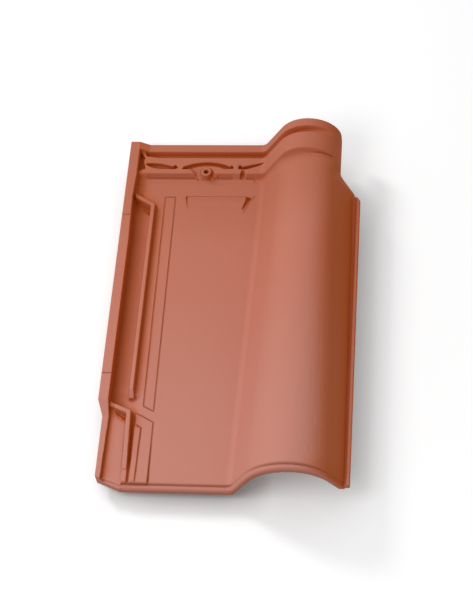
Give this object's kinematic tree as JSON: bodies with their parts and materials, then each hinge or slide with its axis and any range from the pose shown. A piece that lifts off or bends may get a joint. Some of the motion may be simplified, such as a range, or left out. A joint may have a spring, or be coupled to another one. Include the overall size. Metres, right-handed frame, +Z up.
{
  "type": "clay roof tile",
  "caption": "Interlocking roll-and-pan roof tile in fired clay, with a side lock, a head lock, a nail hole and hanging nibs.",
  "frame": {"origin": "middle of the box that bounds the tile, at the level of the nibs and the foot rib it rests on", "axes": "+Z up, +Y from the tail towards the head, +X from the side lock towards the roll"},
  "size_m": [0.273, 0.445, 0.0819],
  "materials": {
    "fired_clay": "matt unglazed fired clay, brick red"
  },
  "bodies": {
    "root": {"roof_tile": "fired_clay"}
  },
  "joints": []
}
